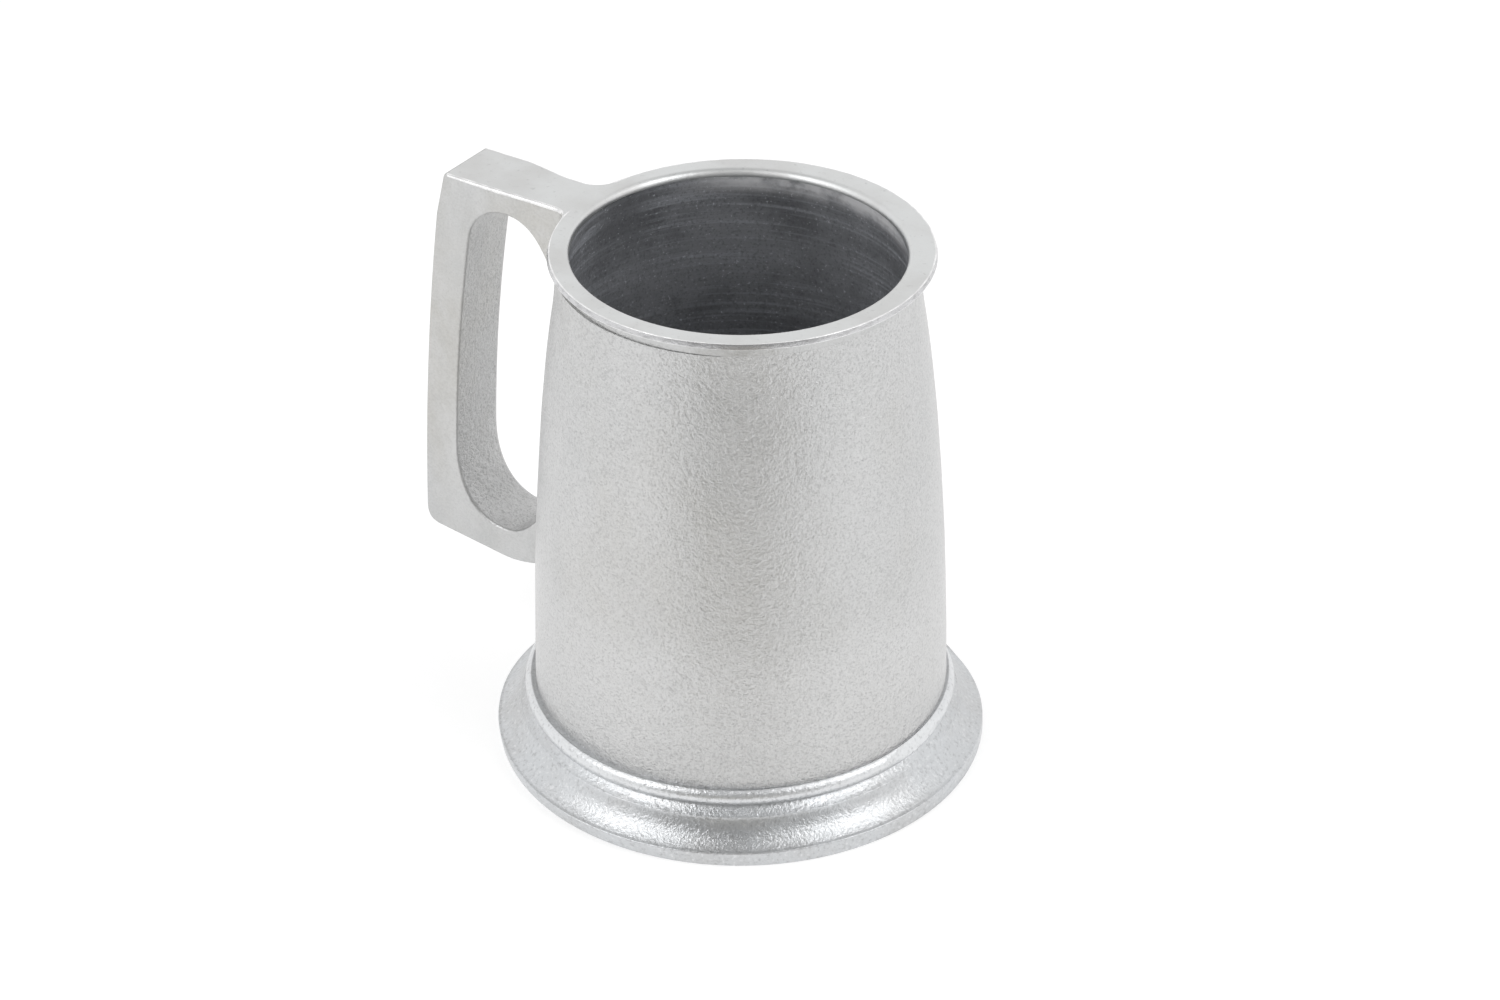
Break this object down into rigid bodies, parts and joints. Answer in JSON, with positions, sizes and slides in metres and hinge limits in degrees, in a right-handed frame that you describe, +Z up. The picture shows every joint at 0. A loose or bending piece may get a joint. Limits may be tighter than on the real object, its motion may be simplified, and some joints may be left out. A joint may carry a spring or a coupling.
{
  "type": "tankard",
  "caption": "Pewter drinking tankard: a flaring drum on a moulded foot, with a flat turned lip and a squared loop handle flush with it.",
  "frame": {"origin": "on the table surface, under the centre of the bounding box; the drum's axis stands 13.55 mm towards +X from it", "axes": "+Z up along the drum, the handle on the -X side in the XZ plane, +X towards the side opposite the handle"},
  "size_m": [0.1368, 0.1098, 0.12],
  "materials": {
    "pewter_cast": "satin pale grey sand-cast pewter with a fine sparkling grain and faint warm patches",
    "pewter_turned": "smooth matte turned face with bright worn arrises",
    "pewter_polished": "turned and rubbed to a soft shine, with fine rings round the mouldings",
    "pewter_handle": "satin cast faces with a coarser grain on the inside of the grip and worn arrises",
    "pewter_dull": "dull grey, unpolished, with faint turning marks"
  },
  "bodies": {
    "root": {"drum": "pewter_cast", "lip_ring": "pewter_turned", "foot_ring": "pewter_polished", "floor_disc": "pewter_dull", "handle": "pewter_handle"}
  },
  "joints": []
}
